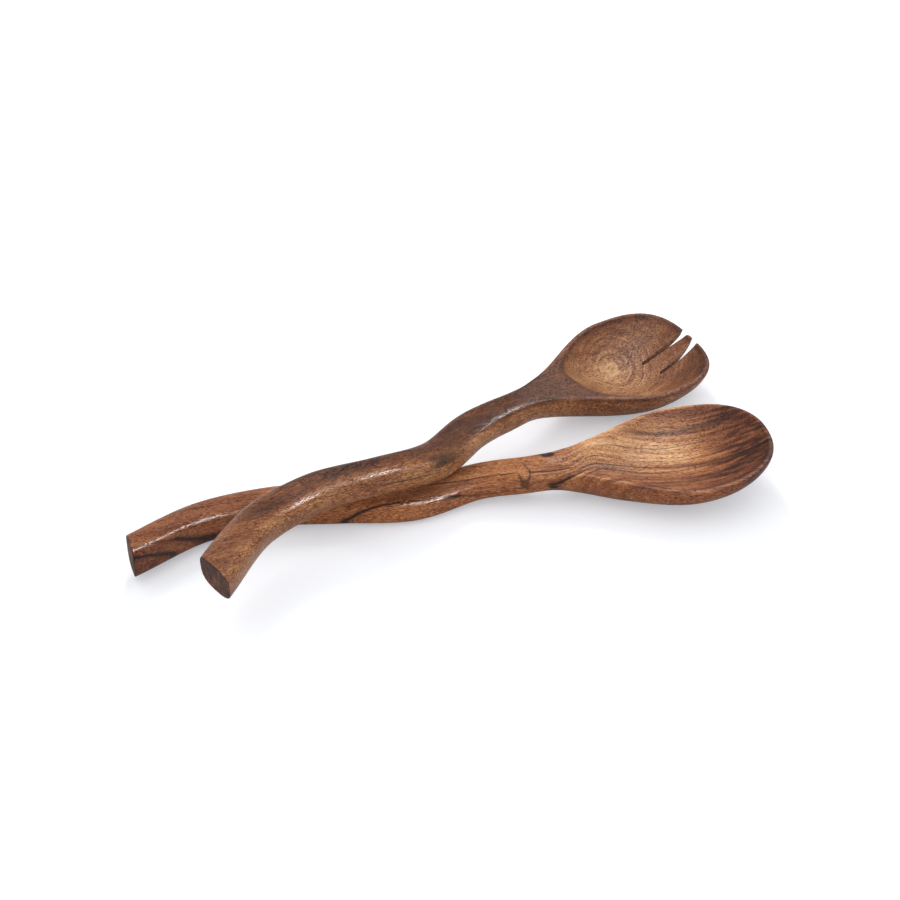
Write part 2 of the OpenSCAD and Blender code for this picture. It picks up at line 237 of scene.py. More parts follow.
class Carving:
    """The form of one server: its surface as a function of x along it and a share v across it."""

    def __init__(self, sizes, shared):
        self.length = shared.server_length
        self.bowl_length = shared.bowl_length
        self.neck = self.length - self.bowl_length
        self.end_angle = shared.end_angle
        self.end_lean = sizes.end_lean
        self.end_round = shared.end_round
        self.rim_round = shared.rim_round
        self.rim_width = shared.rim_width
        self.sway = [*sizes.sway, 0, 0, 0]
        self.under = np.array(sizes.under)
        self.thick = np.array(sizes.thick)
        self.handle_half = np.array(sizes.width) / 2
        self.bowl_half = sizes.bowl_width / 2
        self.widest = sizes.widest
        self.front = sizes.front
        self.rim = [self.under[-1] + self.thick[-1], *sizes.rim]
        self.foot = sizes.foot
        self.hollow = sizes.hollow
        self.fade = sizes.fade
        self.fade_soft = sizes.fade_soft
        self.rear = sizes.rear
        self.slant = sizes.slant

    def on_handle(self, x):
        """Share of the way along the handle, from its end to the neck."""
        return np.clip(x / self.neck, 0, 1)

    def as_bowl(self, x):
        """Share of a section that is bowl and not handle: eased across the neck."""
        return ease((x - self.neck + NECK_BLEND) / (2 * NECK_BLEND))

    def middle(self, x):
        """Sideways place of the middle line: a smooth curve through the sways, then straight.

        The last three sways are 0: one at the neck, and two past it that hold the line straight.
        """
        steps = len(self.sway)
        return along(self.sway, x / (self.neck * (steps - 1) / (steps - 3)))

    def heading(self, x):
        """Angle of the middle line, from its places a little behind and ahead."""
        back = np.maximum(x - SLOPE_STEP, 0)
        ahead = x + SLOPE_STEP
        return np.arctan((self.middle(ahead) - self.middle(back)) / (ahead - back))

    def half_width(self, x):
        """Handle's width, then the bowl's: eased out to the widest place, then a superellipse."""
        b = x - self.neck
        ahead = np.clip((b - self.widest) / (self.bowl_length - self.widest), 0, 1)
        opening = mix(self.handle_half[-1], self.bowl_half, ease(b / self.widest))
        bowl = np.where(b <= self.widest, opening, self.bowl_half * arch(ahead, self.front))
        return mix(along(self.handle_half, self.on_handle(x)), bowl, self.as_bowl(x))

    def shoulder(self, x):
        """Height of the upper face above the widest line round the side."""
        return mix(along(self.thick, self.on_handle(x)) / 2, self.rim_round, self.as_bowl(x))

    def side(self, x):
        """Height of the widest line round the side: the top of the handle or rim, less the shoulder."""
        handle = along(self.under + self.thick, self.on_handle(x))
        rim = along(self.rim, np.clip((x - self.neck) / self.bowl_length, 0, 1))
        return mix(handle, rim, self.as_bowl(x)) - self.shoulder(x)

    def keel(self, x):
        """Height of the underside's lowest line: down to the table, then up to the tip."""
        b = x - self.neck
        past = np.clip((b - self.foot) / (self.bowl_length - self.foot), 0, 1)
        behind = self.under[-1] * (1 - ease(b / self.foot))
        front = self.side(x) * (1 - power(1 - power(past, TIP_FULL), TIP_BLUNT))
        bowl = np.where(b < self.foot, behind, front)
        return mix(along(self.under, self.on_handle(x)), bowl, self.as_bowl(x))

    def hollow_depth(self, x, v):
        """Depth of the hollow: 1 less the squared distance from its deepest place, to a soft power.

        The distance is a superellipse's: as full as the bowl in front, and as the rear says behind.
        """
        b, y = x - self.neck, v * self.half_width(x)
        ahead = b > self.widest
        inner = np.where(ahead, self.bowl_half, self.half_width(x)) - self.rim_width
        across = np.abs(y) / inner
        behind = self.widest + self.fade + self.slant * y
        reach = np.where(ahead, self.bowl_length - self.rim_width - self.widest, behind)
        lengthwise = np.abs(b - self.widest) / reach
        full = np.where(ahead, self.front, self.rear)
        edge = power(across, full) + power(lengthwise, full)
        soft = np.where(ahead, WALL_STEEP, mix(WALL_STEEP, self.fade_soft, ease(lengthwise)))
        return self.hollow * power(1 - power(edge, 2 / full), soft)

    def upper(self, x, v):
        """Height of the upper face: an arched handle, and a rounded rim about the hollow."""
        b = x - self.neck
        span = np.where(b > self.widest, self.bowl_half, self.half_width(x))
        ahead = np.clip((b - self.widest) / (self.bowl_length - self.widest), 0, 1)
        across = np.abs(v) * self.half_width(x) / span
        outline = power(power(across, self.front) + power(ahead, self.front), 1 / self.front)
        rounded = np.sqrt(1 - (1 - np.clip((1 - outline) * span / self.rim_round, 0, 1)) ** 2)
        as_bowl = self.as_bowl(x)
        arched = arch(v, mix(TOP_FULL, BOWL_FULL, as_bowl))
        face = self.side(x) + self.shoulder(x) * mix(arched, rounded, as_bowl)
        return face - as_bowl * self.hollow_depth(x, v)

    def lower(self, x, v):
        """Height of the lower face: a superellipse from the side down to the keel."""
        return self.side(x) - (self.side(x) - self.keel(x)) * arch(v, self.under_full(x))

    def under_full(self, x):
        """Fullness of the underside: the handle's, eased into the bowl's."""
        return mix(UNDER_FULL, BOWL_FULL, self.as_bowl(x))

    def place(self, x, v, z, inset=0):
        """The point at x, share v across and height z, on a section turned to the handle's heading.

        Near the sawn end the section turns to its angle, and leans out from the keel as it does.
        """
        as_end = ease(1 - x / END_BLEND)
        turn = mix(self.heading(x), self.end_angle, as_end)
        across = v * (self.half_width(x) - inset) / np.cos(self.heading(x) - turn)
        out = (z - self.keel(x)) * math.tan(self.end_lean) * as_end
        forward = x - across * np.sin(turn) - out
        sideways = self.middle(x) + across * np.cos(turn)
        return np.stack(np.broadcast_arrays(forward, sideways, z), axis=-1)

    def rings(self):
        """The whole surface but for its two ends, as rings of points: under face, then upper face.

        Near the sawn end the rings draw in by a quarter round, which softens its edge.
        """
        inward = 1 - np.cos(np.linspace(0, math.pi / 2, END_RINGS, endpoint=False))
        x = np.concatenate([
            self.end_round * inward,
            np.linspace(self.end_round, self.neck, HANDLE_RINGS, endpoint=False),
            self.neck + self.bowl_length * (1 - np.linspace(1, 0, BOWL_RINGS, endpoint=False) ** 2),
        ])[:, None]
        inset = self.end_round * (1 - np.sqrt(1 - np.clip(1 - x / self.end_round, 0, 1) ** 2))
        turn = np.linspace(0, math.pi, UNDER_POINTS + 1)[None]
        v = np.sign(np.cos(turn)) * power(np.abs(np.cos(turn)), 2 / self.under_full(x))
        under = self.place(x, v, self.draw_in(x, self.lower(x, v), inset), inset)
        v = -np.cos(np.linspace(0, math.pi, TOP_POINTS + 1)[1:-1])[None]
        top = self.place(x, v, self.draw_in(x, self.upper(x, v), inset), inset)
        return np.concatenate([under, top], axis=1)

    def draw_in(self, x, z, inset):
        """The height z drawn towards the side's height, by the share that inset is of the shoulder."""
        return mix(z, self.side(x), inset / self.shoulder(x))

    def tip(self):
        """The point in which the bowl ends, at the height of its side."""
        return np.array([self.length, 0, float(self.side(np.array(self.length)))])


def grid_faces(rows, ring):
    """Faces between rings that follow each other: a point, the one ahead, and the next ones round."""
    i, j = np.meshgrid(np.arange(rows - 1), np.arange(ring), indexing="ij")
    k = (j + 1) % ring
    ahead = i + 1
    faces = np.stack([i * ring + j, ahead * ring + j, ahead * ring + k, i * ring + k], -1)
    return faces.reshape(-1, 4).tolist()


def shell(points, end):
    """Vertices and faces of a closed skin: a capped start, rings of points, and a fan to a tip.

    The cap's rings are the first ring, drawn in to its centre by equal shares.
    """
    count, ring = points.shape[:2]
    centre = points[0].mean(axis=0)
    shares = (np.arange(1, CAP_RINGS) / CAP_RINGS)[:, None, None]
    cap = centre + (points[0] - centre) * shares
    stack = np.concatenate([cap, points]).reshape(-1, 3)
    rows = count + CAP_RINGS - 1
    start, last = len(stack), len(stack) + 1
    j = np.arange(ring)
    k = (j + 1) % ring
    base = (rows - 1) * ring
    fans = np.concatenate([
        np.stack([np.full(ring, start), j, k], -1),
        np.stack([base + k, base + j, np.full(ring, last)], -1),
    ])
    return np.concatenate([stack, [centre, end]]), [*grid_faces(rows, ring), *fans.tolist()]


def mesh_object(name, vertices, faces):
    """A new object in the scene with that mesh."""
    mesh = bpy.data.meshes.new(name)
    mesh.from_pydata(vertices, [], faces)
    mesh.update()
    piece = bpy.data.objects.new(name, mesh)
    bpy.context.scene.collection.objects.link(piece)
    return piece


def get_points(piece):
    """The vertices of a piece, as an array."""
    points = np.empty(len(piece.data.vertices) * 3)
    piece.data.vertices.foreach_get("co", points)
    return points.reshape(-1, 3)


def put_points(piece, points):
    """Moves the vertices of a piece."""
    piece.data.vertices.foreach_set("co", np.ascontiguousarray(points, dtype=np.float32).ravel())
    piece.data.update()


# ---------------------------------------------------------------- the slots between the tines

# How finely a slot is cut: points along a wall, round its root, and up the rounding of an edge
SLOT_STEPS = 26
ROOT_STEPS = 13
FLARE_STEPS = 7
# How far a cutter reaches past the wood
CUTTER_REACH = 8 * MM
# A cutter takes the wood's height no nearer to the tip than this, and no further across it
TIP_MARGIN = 0.3 * MM
EDGE_SHARE = 0.999
# A half width that keeps that share from being a division by 0
LEAST_WIDTH = 0.001 * MM


def slot_outline(sizes, carving, which):
    """The outline of one slot, seen from above: its points, and the normals that point out of it.

    It runs from past the tip, along the wall by the middle tine, round the root and back along the
    outer wall. A wall leaves the root straight and opens late: by its way to the tip, to a power.
    """
    side = -1 if which == 0 else 1
    radius = sizes.root_width / 2
    root = np.array([carving.length - sizes.slot_length[which] + radius, side * sizes.root_place[which]])
    inner_mouth = sizes.middle_place + side * sizes.middle_point / 2
    outer_mouth = inner_mouth + side * sizes.slot_mouth[which]
    t = np.linspace(0, 1, SLOT_STEPS)[:, None]
    opening = np.concatenate([t, t ** sizes.slot_flare], axis=1)
    walls = []
    for mouth, edge in ((inner_mouth, -side), (outer_mouth, side)):
        start, end = root + [0, edge * radius], np.array([carving.length, mouth])
        walls.append(np.concatenate([mix(start, end, opening), mix(end, end + [CUTTER_REACH, 0], t[1:])]))
    turn = np.linspace(0, math.pi, ROOT_STEPS)[1:-1, None]
    bow = root - radius * np.concatenate([np.sin(turn), side * np.cos(turn)], axis=1)
    points = np.concatenate([walls[0][::-1], bow, walls[1]])
    run = np.gradient(points, axis=0)
    run /= np.linalg.norm(run, axis=1)[:, None]
    return points, np.stack([side * run[:, 1], -side * run[:, 0]], axis=1)


def slot_cutter(sizes, shared, carving, which):
    """The closed shape that cuts one slot: its walls, which flare by a quarter round at both faces.

    The outline is repeated at rising levels, each moved out along its normals by its share of the flare.
    """
    points, normals = slot_outline(sizes, carving, which)
    radius = shared.slot_round
    x = np.clip(points[:, 0], 0, carving.length - TIP_MARGIN)
    v = points[:, 1] / np.maximum(carving.half_width(x), LEAST_WIDTH)
    v = np.clip(v, -EDGE_SHARE, EDGE_SHARE)
    top, bottom = carving.upper(x, v), carving.lower(x, v)
    turn = np.linspace(0, math.pi / 2, FLARE_STEPS)
    drops, flares = radius * (1 - np.sin(turn)), radius * (1 - np.cos(turn))
    levels = [(bottom - CUTTER_REACH, radius)]
    levels += [(bottom + drop, flare) for drop, flare in zip(drops[::-1], flares[::-1])]
    levels += [(top - drop, flare) for drop, flare in zip(drops, flares)]
    levels += [(top + CUTTER_REACH, radius)]
    rings = np.stack([
        np.concatenate([points + normals * flare, z[:, None]], axis=1) for z, flare in levels
    ])
    count, ring = rings.shape[:2]
    ends = np.stack([np.arange(ring)[::-1], (count - 1) * ring + np.arange(ring)]).tolist()
    cutter = mesh_object(f"slot_cutter_{which}", rings.reshape(-1, 3), [*grid_faces(count, ring), *ends])
    work = bmesh.new()
    work.from_mesh(cutter.data)
    bmesh.ops.recalc_face_normals(work, faces=work.faces)
    work.to_mesh(cutter.data)
    work.free()
    return cutter


def cut(piece, cutter):
    """Cuts the cutter's shape out of the piece and deletes the cutter."""
    modifier = piece.modifiers.new("Slot", "BOOLEAN")
    modifier.operation = "DIFFERENCE"
    modifier.solver = "EXACT"
    modifier.object = cutter
    graph = bpy.context.evaluated_depsgraph_get()
    uncut = piece.data
    piece.data = bpy.data.meshes.new_from_object(piece.evaluated_get(graph))
    piece.modifiers.clear()
    bpy.data.meshes.remove(uncut)
    bpy.data.objects.remove(cutter)


# ---------------------------------------------------------------- where the servers lie

# Distance from the tip to the place about which the fork turns
BOWL_MIDDLE = 50 * MM
# The steepest tilt that is tried, and how often the range of tilts is halved
MOST_TILT = math.radians(15)
TILT_HALVINGS = 40
# One point in so many is looked at for the tilt
POINT_STEP = 3
# Edges whose faces meet at more than this angle stay sharp
SHARP_ANGLE = math.radians(38)


def fork_rest(sizes, carving, points):
    """Matrix that lays the fork in place: rolled, tilted and turned about the middle of its bowl.

    The tilt is the one that makes the fork as high as its CAD node, found by halving a range of
    tilts. Then the fork moves onto that node's box.
    """
    low, high = (np.array(corner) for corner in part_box("salad_fork"))
    pivot = np.array([carving.length - BOWL_MIDDLE, 0, 0])
    few = points.reshape(-1, 3)[::POINT_STEP]

    def turned(tilt):
        return np.array(Euler((sizes.roll, tilt, sizes.turn), "XYZ").to_matrix())

    flat, steep = 0.0, MOST_TILT
    for _ in range(TILT_HALVINGS):
        tilt = (flat + steep) / 2
        z = (few - pivot) @ turned(tilt)[2]
        flat, steep = (flat, tilt) if np.ptp(z) > high[2] - low[2] else (tilt, steep)
    spin = turned(tilt)
    placed = (points.reshape(-1, 3) - pivot) @ spin.T
    shift = (low + high) / 2 - (placed.min(axis=0) + placed.max(axis=0)) / 2
    matrix = Matrix(spin.tolist()).to_4x4()
    matrix.translation = Vector(shift - spin @ pivot)
    return matrix


def spoon_rest(points):
    """Matrix that moves the spoon onto its CAD box."""
    low, high = (np.array(corner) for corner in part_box("salad_spoon"))
    flat = points.reshape(-1, 3)
    return Matrix.Translation(Vector((low + high) / 2 - (flat.min(axis=0) + flat.max(axis=0)) / 2))


def moved(points, matrix):
    """The points moved by a matrix."""
    spin = np.array(matrix.to_3x3())
    return points @ spin.T + np.array(matrix.translation)


def carve(name, carving, cutters=()):
    """One server's skin, lying along +X, with its slots cut."""
    piece = mesh_object(name, *shell(carving.rings(), carving.tip()))
    for cutter in cutters:
        cut(piece, cutter)
    piece.data.name = name
    return piece


def lay(piece, matrix, node, body):
    """Lays a server in place, in place of its CAD node, with its faces smooth but for sharp edges."""
    put_points(piece, moved(get_points(piece), matrix))
    piece.data.polygons.foreach_set("use_smooth", np.ones(len(piece.data.polygons), dtype=bool))
    piece.data.set_sharp_from_angle(angle=SHARP_ANGLE)
    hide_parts(node)
    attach(piece, body)


# ---------------------------------------------------------------- the figure of the wood

# All sizes in this part are in mm, on a server that lies along +X with its handle's end at 0.

# How far a line's copies are shifted to round its corners
CORNER_SHIFTS = (-4, -2, 0, 2, 4)
# How steeply the spoon's layers lean sideways, and the tone of its wood: 0 is darkest and 1 is palest
SPOON_SLOPE = 0.45
SPOON_TONE = 0.57
# The fork's layers: how they rise upwards, to the spoon's side and along the handle
FORK_UP = 0.94
FORK_ASIDE = -0.33
FORK_AHEAD = -0.03
# How steeply the dark layer on the fork's handle leans sideways, and the tones below and in it
FORK_SLOPE = 0.35
FORK_TONE = 0.54
FORK_TOP_TONE = 0.32
# The swirl in the fork's dish: its middle, how the layers slope and bend there, and the bend's reach
SWIRL_PLACE = 267.7
SWIRL_SLOPE = -0.047
SWIRL_BEND = 0.008
SWIRL_REACH = 22
# Share of the two other directions in the swirl's pattern, so that no ring is the same all round
SWIRL_DRIFT = 0.02
# A distance at which a knot or the tongue no longer shows
FAR = 9
# How far in the sawn end's colour starts to fade, and over what length
END_FACE = 0.12
END_FADE = 0.3
# The upward share of a normal from which a face counts as looking up, and its run to all of it
FACE_UP = (0.1, 0.4)
# A painted highlight, a paler line just inside the rim where it catches the light: how far it lies inside the
# outline, its width, and the least half width that has one
PAINTED_HIGHLIGHT_INSET = 1.5
PAINTED_HIGHLIGHT_WIDTH = 0.9
PAINTED_HIGHLIGHT_LEAST = 12

# Where the spoon's growth layers run: (place along it, height of one layer)
SPOON_LAYER = (
    (0, -28), (25, -18), (40, -12.5), (98, -10), (124, -6), (168, -2),
    (200, -7), (211, -5.5), (222, 2), (232, 2.5), (262, -0.6), (300, -3),
)
# Dark lines of the spoon: (place along it, distance from that layer, width, darkness)
SPOON_VEINS = (
    # The main line, which the tongue breaks on the neck and which runs on into the dish
    (
        (140, 10, 0.6, 0), (149, 9.6, 0.8, 0.9), (166, 8, 0.8, 0.9), (182, 8.2, 0.9, 1), (185, 8.3, 0.9, 0),
        (189, 8.2, 0.9, 0), (191, 8, 1.2, 1), (204, 8, 1, 1), (222, 8, 0.8, 1), (262, 8, 0.7, 0.85),
        (308, 8, 0.9, 0.85),
    ),
    # The line below it
    (
        (196, 3, 0.8, 0), (200, 2.8, 1.1, 0.9), (208, 2, 0.8, 0.9), (214, 1.2, 0.7, 0.9),
        (220, 1.5, 0.6, 0.9), (227, 5, 0.8, 0.8), (240, 4.6, 0.7, 0.7), (252, 3.6, 0.6, 0.5),
        (272, 5.2, 0.6, 0.6), (292, 7, 0.6, 0.6),
    ),
    # The long line of the handle
    (
        (0, -0.2, 0.6, 0.8), (17, -0.4, 0.8, 0.6), (22, 0, 1.5, 0.9), (38, 0, 2, 1), (60, 0, 1.5, 0.9),
        (98, -0.5, 1, 1), (130, -0.5, 1, 1), (142, -0.6, 1, 0.9), (165, 0, 0.8, 0.5), (176, 0, 0.8, 0),
    ),
    # Two on the far side of the dish
    ((236, 28, 3, 0), (248, 29, 3, 0.5), (275, 31.5, 3, 0.6), (301, 35, 3, 0.5), (309, 36, 3, 0.3)),
    ((228, 18, 0.5, 0), (236, 19.5, 0.5, 0.6), (262, 21, 0.5, 0.7), (282, 23.5, 0.5, 0.5), (296, 25, 0.5, 0)),
    # Two near the handle's end
    (
        (20, 18.5, 0.8, 0), (28, 16.8, 0.9, 0.7), (36, 15, 0.8, 0.7), (47, 15.7, 0.7, 0.6),
        (62, 16.4, 0.7, 0.4), (84, 17, 0.7, 0),
    ),
    (
        (0, -5.6, 1, 0.9), (10, -4.6, 0.9, 0.9), (20, -4, 1.3, 1), (30, -4.6, 2.2, 1), (44, -6, 2.2, 0.8),
        (70, -8, 3, 0),
    ),
    # A fine one in the middle of the dish, and a soft one on its near side
    (
        (212, 11.5, 0.6, 0), (225, 12.5, 0.6, 0.6), (245, 12, 0.5, 0.35), (270, 12.5, 0.5, 0.4),
        (300, 13.5, 0.6, 0.3),
    ),
    (
        (240, -4, 1.5, 0), (255, -4.5, 1.8, 0.25), (280, -3, 1.8, 0.4), (300, -1, 1.8, 0.35),
        (308, 0, 1.8, 0.2),
    ),
)
# Where the fork's dark upper layer ends: (place along it, level)
FORK_LEVEL = (
    (0, 3), (20, 6), (41, 8.6), (55, 8.8), (72, 12.4), (87, 14.2), (102, 14.3), (132, 11.5),
    (149, 10.6), (171, 13.2), (190, 15.4), (212, 16), (235, 19.3), (272, 21.4), (310, 24.4),
)
# Dark lines of the fork, as the spoon's, but from the bottom of its layers
FORK_VEINS = (
    ((92, 17, 0.7, 0), (99, 17, 0.8, 0.8), (112, 16.9, 0.8, 0.8), (121, 16.4, 0.8, 0.6), (128, 16.3, 0.8, 0)),
    (
        (120, 19, 1.6, 0), (127, 18.6, 1.6, 0.7), (133, 17.9, 1.6, 0.8), (140, 16.8, 1.4, 0.6),
        (150, 15.2, 1.2, 0.2),
    ),
    ((0, 12.4, 1, 0), (3, 12.6, 0.9, 0.5), (9, 14.2, 1, 0.8), (15, 15.4, 0.9, 0.3), (24, 16.5, 0.8, 0)),
)
# Knots: (place, radii, darkness, depth of the dent)
SPOON_KNOTS = (
    ((201, 6.6, 18.6), (3.6, 2.2, 1.8), 1, 0.7),
    ((201, -9.4, 10.6), (2.2, 2.2, 0.9), 0.8, 0.4),
    ((152, -9, 9.9), (5, 3, 0.9), 0.6, 0.2),
)
FORK_KNOTS = (
    ((232, -17.5, 9), (1.2, 1.2, 1.2), 0.6, 0.1),
    ((214, -11, 11.5), (1.4, 1.2, 1), 0.4, 0.05),
)
# The small tongue of bark that breaks the spoon's main line: its middle line, from above
TONGUE = ((184.6, -4.8), (185.3, -7.6), (187.7, -9), (189.8, -7.8), (190, -5), (189.3, -2), (188.4, 1.8))


def line(points, x):
    """A line through points (x, value), with its corners rounded: the mean of copies shifted along it."""
    at, values = np.array(points).T
    return sum(np.interp(x + shift, at, values) for shift in CORNER_SHIFTS) / len(CORNER_SHIFTS)


def bell(distance, width):
    """A smooth hump: 1 at no distance, and 1 / e at the width."""
    return np.exp(-((distance / width) ** 2))


def spot(x, y, place, width):
    """A round hump about a place seen from above."""
    return bell(np.hypot(x - place[0], y - place[1]), width)


def rise(values, start, run):
    """A smooth step from 0 at the start to 1 a run further on, or further back if the run is negative."""
    return ease((values - start) / run)


def veins(x, layer, lines):
    """Signed distance to each dark line, in its own widths, and its darkness: three lines a set."""
    sets = []
    for start in range(0, len(lines), 3):
        group = [np.array(vein).T for vein in lines[start:start + 3]]
        distance = [
            (layer - np.interp(x, at, place)) / np.interp(x, at, width) for at, place, width, _ in group
        ]
        darkness = [np.interp(x, at, dark) for at, _, _, dark in group]
        sets.append((np.stack(distance, -1), np.stack(darkness, -1)))
    return sets


def to_polyline(x, y, points):
    """Distance in plan to a run of straight pieces: the least of the distances to the pieces."""
    ends = np.array(points, dtype=float)
    best = np.full(len(x), np.inf)
    for (ax, ay), (bx, by) in zip(ends[:-1], ends[1:]):
        t = np.clip(((x - ax) * (bx - ax) + (y - ay) * (by - ay)) / ((bx - ax) ** 2 + (by - ay) ** 2), 0, 1)
        best = np.minimum(best, np.hypot(x - mix(ax, bx, t), y - mix(ay, by, t)))
    return best


def knots(points, spots):
    """Distance from the nearest knot in its radii, the knot's darkness, and the depth of its dent.

    The depth falls off as the square of 1 less the squared distance.
    """
    distance = np.full(len(points), float(FAR))
    darkness, dent = np.zeros(len(points)), np.zeros(len(points))
    for place, radii, dark, depth in spots:
        own = np.linalg.norm((points - place) / radii, axis=1)
        nearer = own < distance
        distance = np.where(nearer, own, distance)
        darkness = np.where(nearer, dark, darkness)
        dent = np.maximum(dent, depth * power(1 - own ** 2, 2))
    return distance, darkness, dent


def end_share(carving, points):
    """1 on the sawn end of the handle, and 0 off it: by the distance behind the end's plane."""
    turn, start = carving.end_angle, np.array(0.0)
    x, y, z = points.T
    out = (z - carving.keel(start) / MM) * math.tan(carving.end_lean)
    off = (x + out) * math.cos(turn) + (y - carving.middle(start) / MM) * math.sin(turn)
    return 1 - rise(off, END_FACE, END_FADE)


def spoon_figure(points):
    """The spoon's wood at each point: layers that lean to one side and follow the handle.

    Soft steps and humps are added to an even tone, each with its place and its reach.
    """
    x, y, z = points.T
    layer = y + SPOON_SLOPE * z - line(SPOON_LAYER, x)
    to_tip = rise(x, 266, 34)
    tone = np.full(len(x), SPOON_TONE)
    # The pale middle of the dish (partly paler layers, partly a painted pool of light on its rear wall), the
    # dark
    #     # wood towards the tip (partly darker layers, partly painted shade), and the darker near side
    tone += 0.36 * rise(x, 208, 20) * bell(layer - 19, 11) * (1 - 0.8 * to_tip)
    tone -= 0.28 * to_tip
    tone -= 0.08 * rise(x, 205, 10) * rise(layer, 3, -6)
    # Two paler places on the handle, the second only below its long line
    tone += 0.02 * bell(x - 180, 26) + 0.06 * bell(x - 125, 16) * rise(layer, -1, -3)
    # The handle darkens to its end, and more so below its long line: there it is partly a stain and partly
    # painted
    #     # shade, from the table and the fork, along the lower side
    tone -= 0.12 * rise(x, 90, -30)
    tone -= 0.16 * rise(x, 60, -40) * rise(layer, -3, -3)
    # The tongue is on the upper face only
    mark = to_polyline(x, y, TONGUE) + FAR * rise(z, 11, -3)
    values = {"grain": np.stack([x, layer, z - SPOON_SLOPE * y], -1) * MM, "tone": tone, "mark": mark}
    return values, veins(x, layer, SPOON_VEINS)


def fork_figure(points):
    """The fork's wood at each point: nearly level layers, dark on top, cut through by the dish.

    Under the dish the layers bend by the square of the way from the swirl's middle, so that the
    hollow cuts a swirl of rings from them. The tone is made as the spoon's is.
    """
    x, y, z = points.T
    level = FORK_UP * z + FORK_ASIDE * y
    ahead = x - SWIRL_PLACE
    swirl = level + SWIRL_SLOPE * ahead + SWIRL_BEND * ahead ** 2 / (1 + (ahead / SWIRL_REACH) ** 2)
    above = z + FORK_SLOPE * y * (1 - rise(x, 212, 20)) - line(FORK_LEVEL, x)
    top = rise(above, -1.2, 2.8) * mix(0.45, 1, rise(x, 18, 30))
    side = 1 - top
    dish = side * rise(x, 226, 10)
    tone = mix(FORK_TONE, FORK_TOP_TONE, top)
    # In the dish: a pale middle with a palest spot, and darker wood to the tip and to both sides
    tone += dish * (0.02 + 0.16 * bell(np.hypot(x - 262, (y - 8) * 1.1), 22) + 0.14 * spot(x, y, (266, 9), 6))
    tone -= dish * (0.08 * rise(x, 282, 20) + 0.1 * rise(y, -8, -10) * rise(x, 268, 14))
    tone -= dish * 0.07 * bell(x - 256, 16) * rise(y, 15, 5)
    # On the handle: paler sides half way and at the end, and three darker places on top
    tone += 0.13 * bell(x - 160, 45) * side + 0.04 * bell(x - 20, 30)
    darker = bell(x - 38, 12) * bell(y + 12, 5) + bell(x - 84, 14) * bell(y + 8, 5) + 0.4 * bell(x - 158, 22)
    tone -= 0.12 * darker * top
    values = {
        "grain": np.stack([x, y, z], -1) * MM,
        "tone": tone,
        "layers": np.stack([swirl, SWIRL_DRIFT * y, SWIRL_DRIFT * z], -1) * MM,
        "ringed": rise(x, 222, 18) * mix(0.2, 1, spot(x, y, (273, 4), 15)),
    }
    return values, veins(x, level + FORK_AHEAD * x, FORK_VEINS)


def store(piece, name, values):
    """Keeps a number or a vector for each vertex, as an attribute that the material reads."""
    kind, field = ("FLOAT", "value") if values.ndim == 1 else ("FLOAT_VECTOR", "vector")
    attribute = piece.data.attributes.new(name, kind, "POINT")
    attribute.data.foreach_set(field, np.ascontiguousarray(values, dtype=np.float32).ravel())


def figure(piece, carving, describe, spots):
    """Dents the knots into a piece that still lies along +X, and keeps what its wood is at each vertex.

    Besides the wood's own values it keeps the dish, which is the bowl's faces that look up, and a painted
    highlight, which is a paler line just inside the rim. Gives the number of sets of dark lines.
    """
    points = get_points(piece) / MM
    distance, darkness, dent = knots(points, spots)
    normals = np.empty(points.size, dtype=np.float32)
    piece.data.vertex_normals.foreach_get("vector", normals)
    normals = normals.reshape(-1, 3)
    put_points(piece, (points - normals * dent[:, None]) * MM)
    values, sets = describe(points)
    x, y = points[:, 0] * MM, points[:, 1]
    dish = carving.as_bowl(x) * rise(normals[:, 2], *FACE_UP)
    half = carving.half_width(x) / MM
    values["dish"] = dish
    # A painted highlight: a paler line just inside the rim, where the rim catches the light
    values["painted_rim_highlight"] = dish * bell(half - np.abs(y) - PAINTED_HIGHLIGHT_INSET, PAINTED_HIGHLIGHT_WIDTH) * (half > PAINTED_HIGHLIGHT_LEAST)
    values["knot"] = distance
    values["knot_dark"] = darkness
    values["sawn"] = end_share(carving, points)
    for number, (distance, darkness) in enumerate(sets):
        values[f"veins_{number}"] = distance
        values[f"vein_dark_{number}"] = darkness
    for name, value in values.items():
        store(piece, name, value)
    return len(sets)


# ---------------------------------------------------------------- materials

# Both woods. Sizes of patterns are in mm: along the grain, across the layers and along the layers.
OILED_WOOD = {
    # Bends of the layers, layers as the sawn end cuts across them, and unsteadiness of the dark lines
    "wandering": (30, 9, 9), "end_layers": (100, 0.9, 6), "shaking": (6, 3, 3),
    # How far that moves a line, in its own widths
    "wobble": 0.6,
    # The pattern's values where a pore starts and where it is deepest
    "pore_edge": (0.5, 0.68),
    # The bands' values between which a dark line gets stronger, and its strength at each
    "patches": (0.25, 0.6, 0.8, 1.3),
    # Where a knot starts to fade and where it ends, in its radii, and how far the fibres fray that edge
    "knot_edge": (0.75, 1.25), "knot_fray": 0.8,
    # How much the tone changes: on the painted highlight just inside the rim, with the layers on the sawn
    # end, and
    # # with the fibres off the dish and in it
    "painted_rim_highlight_share": 0.14, "end_share": 1.2, "fibre_share": (0.85, 0.51),
    # The roughness where bands and fibres are lowest and highest, and more of it where nothing polishes it
    "fibre_rough": 0.6, "gloss_range": (0.4, 1.3), "roughness": (0.15, 0.31), "dull": 0.38,
}
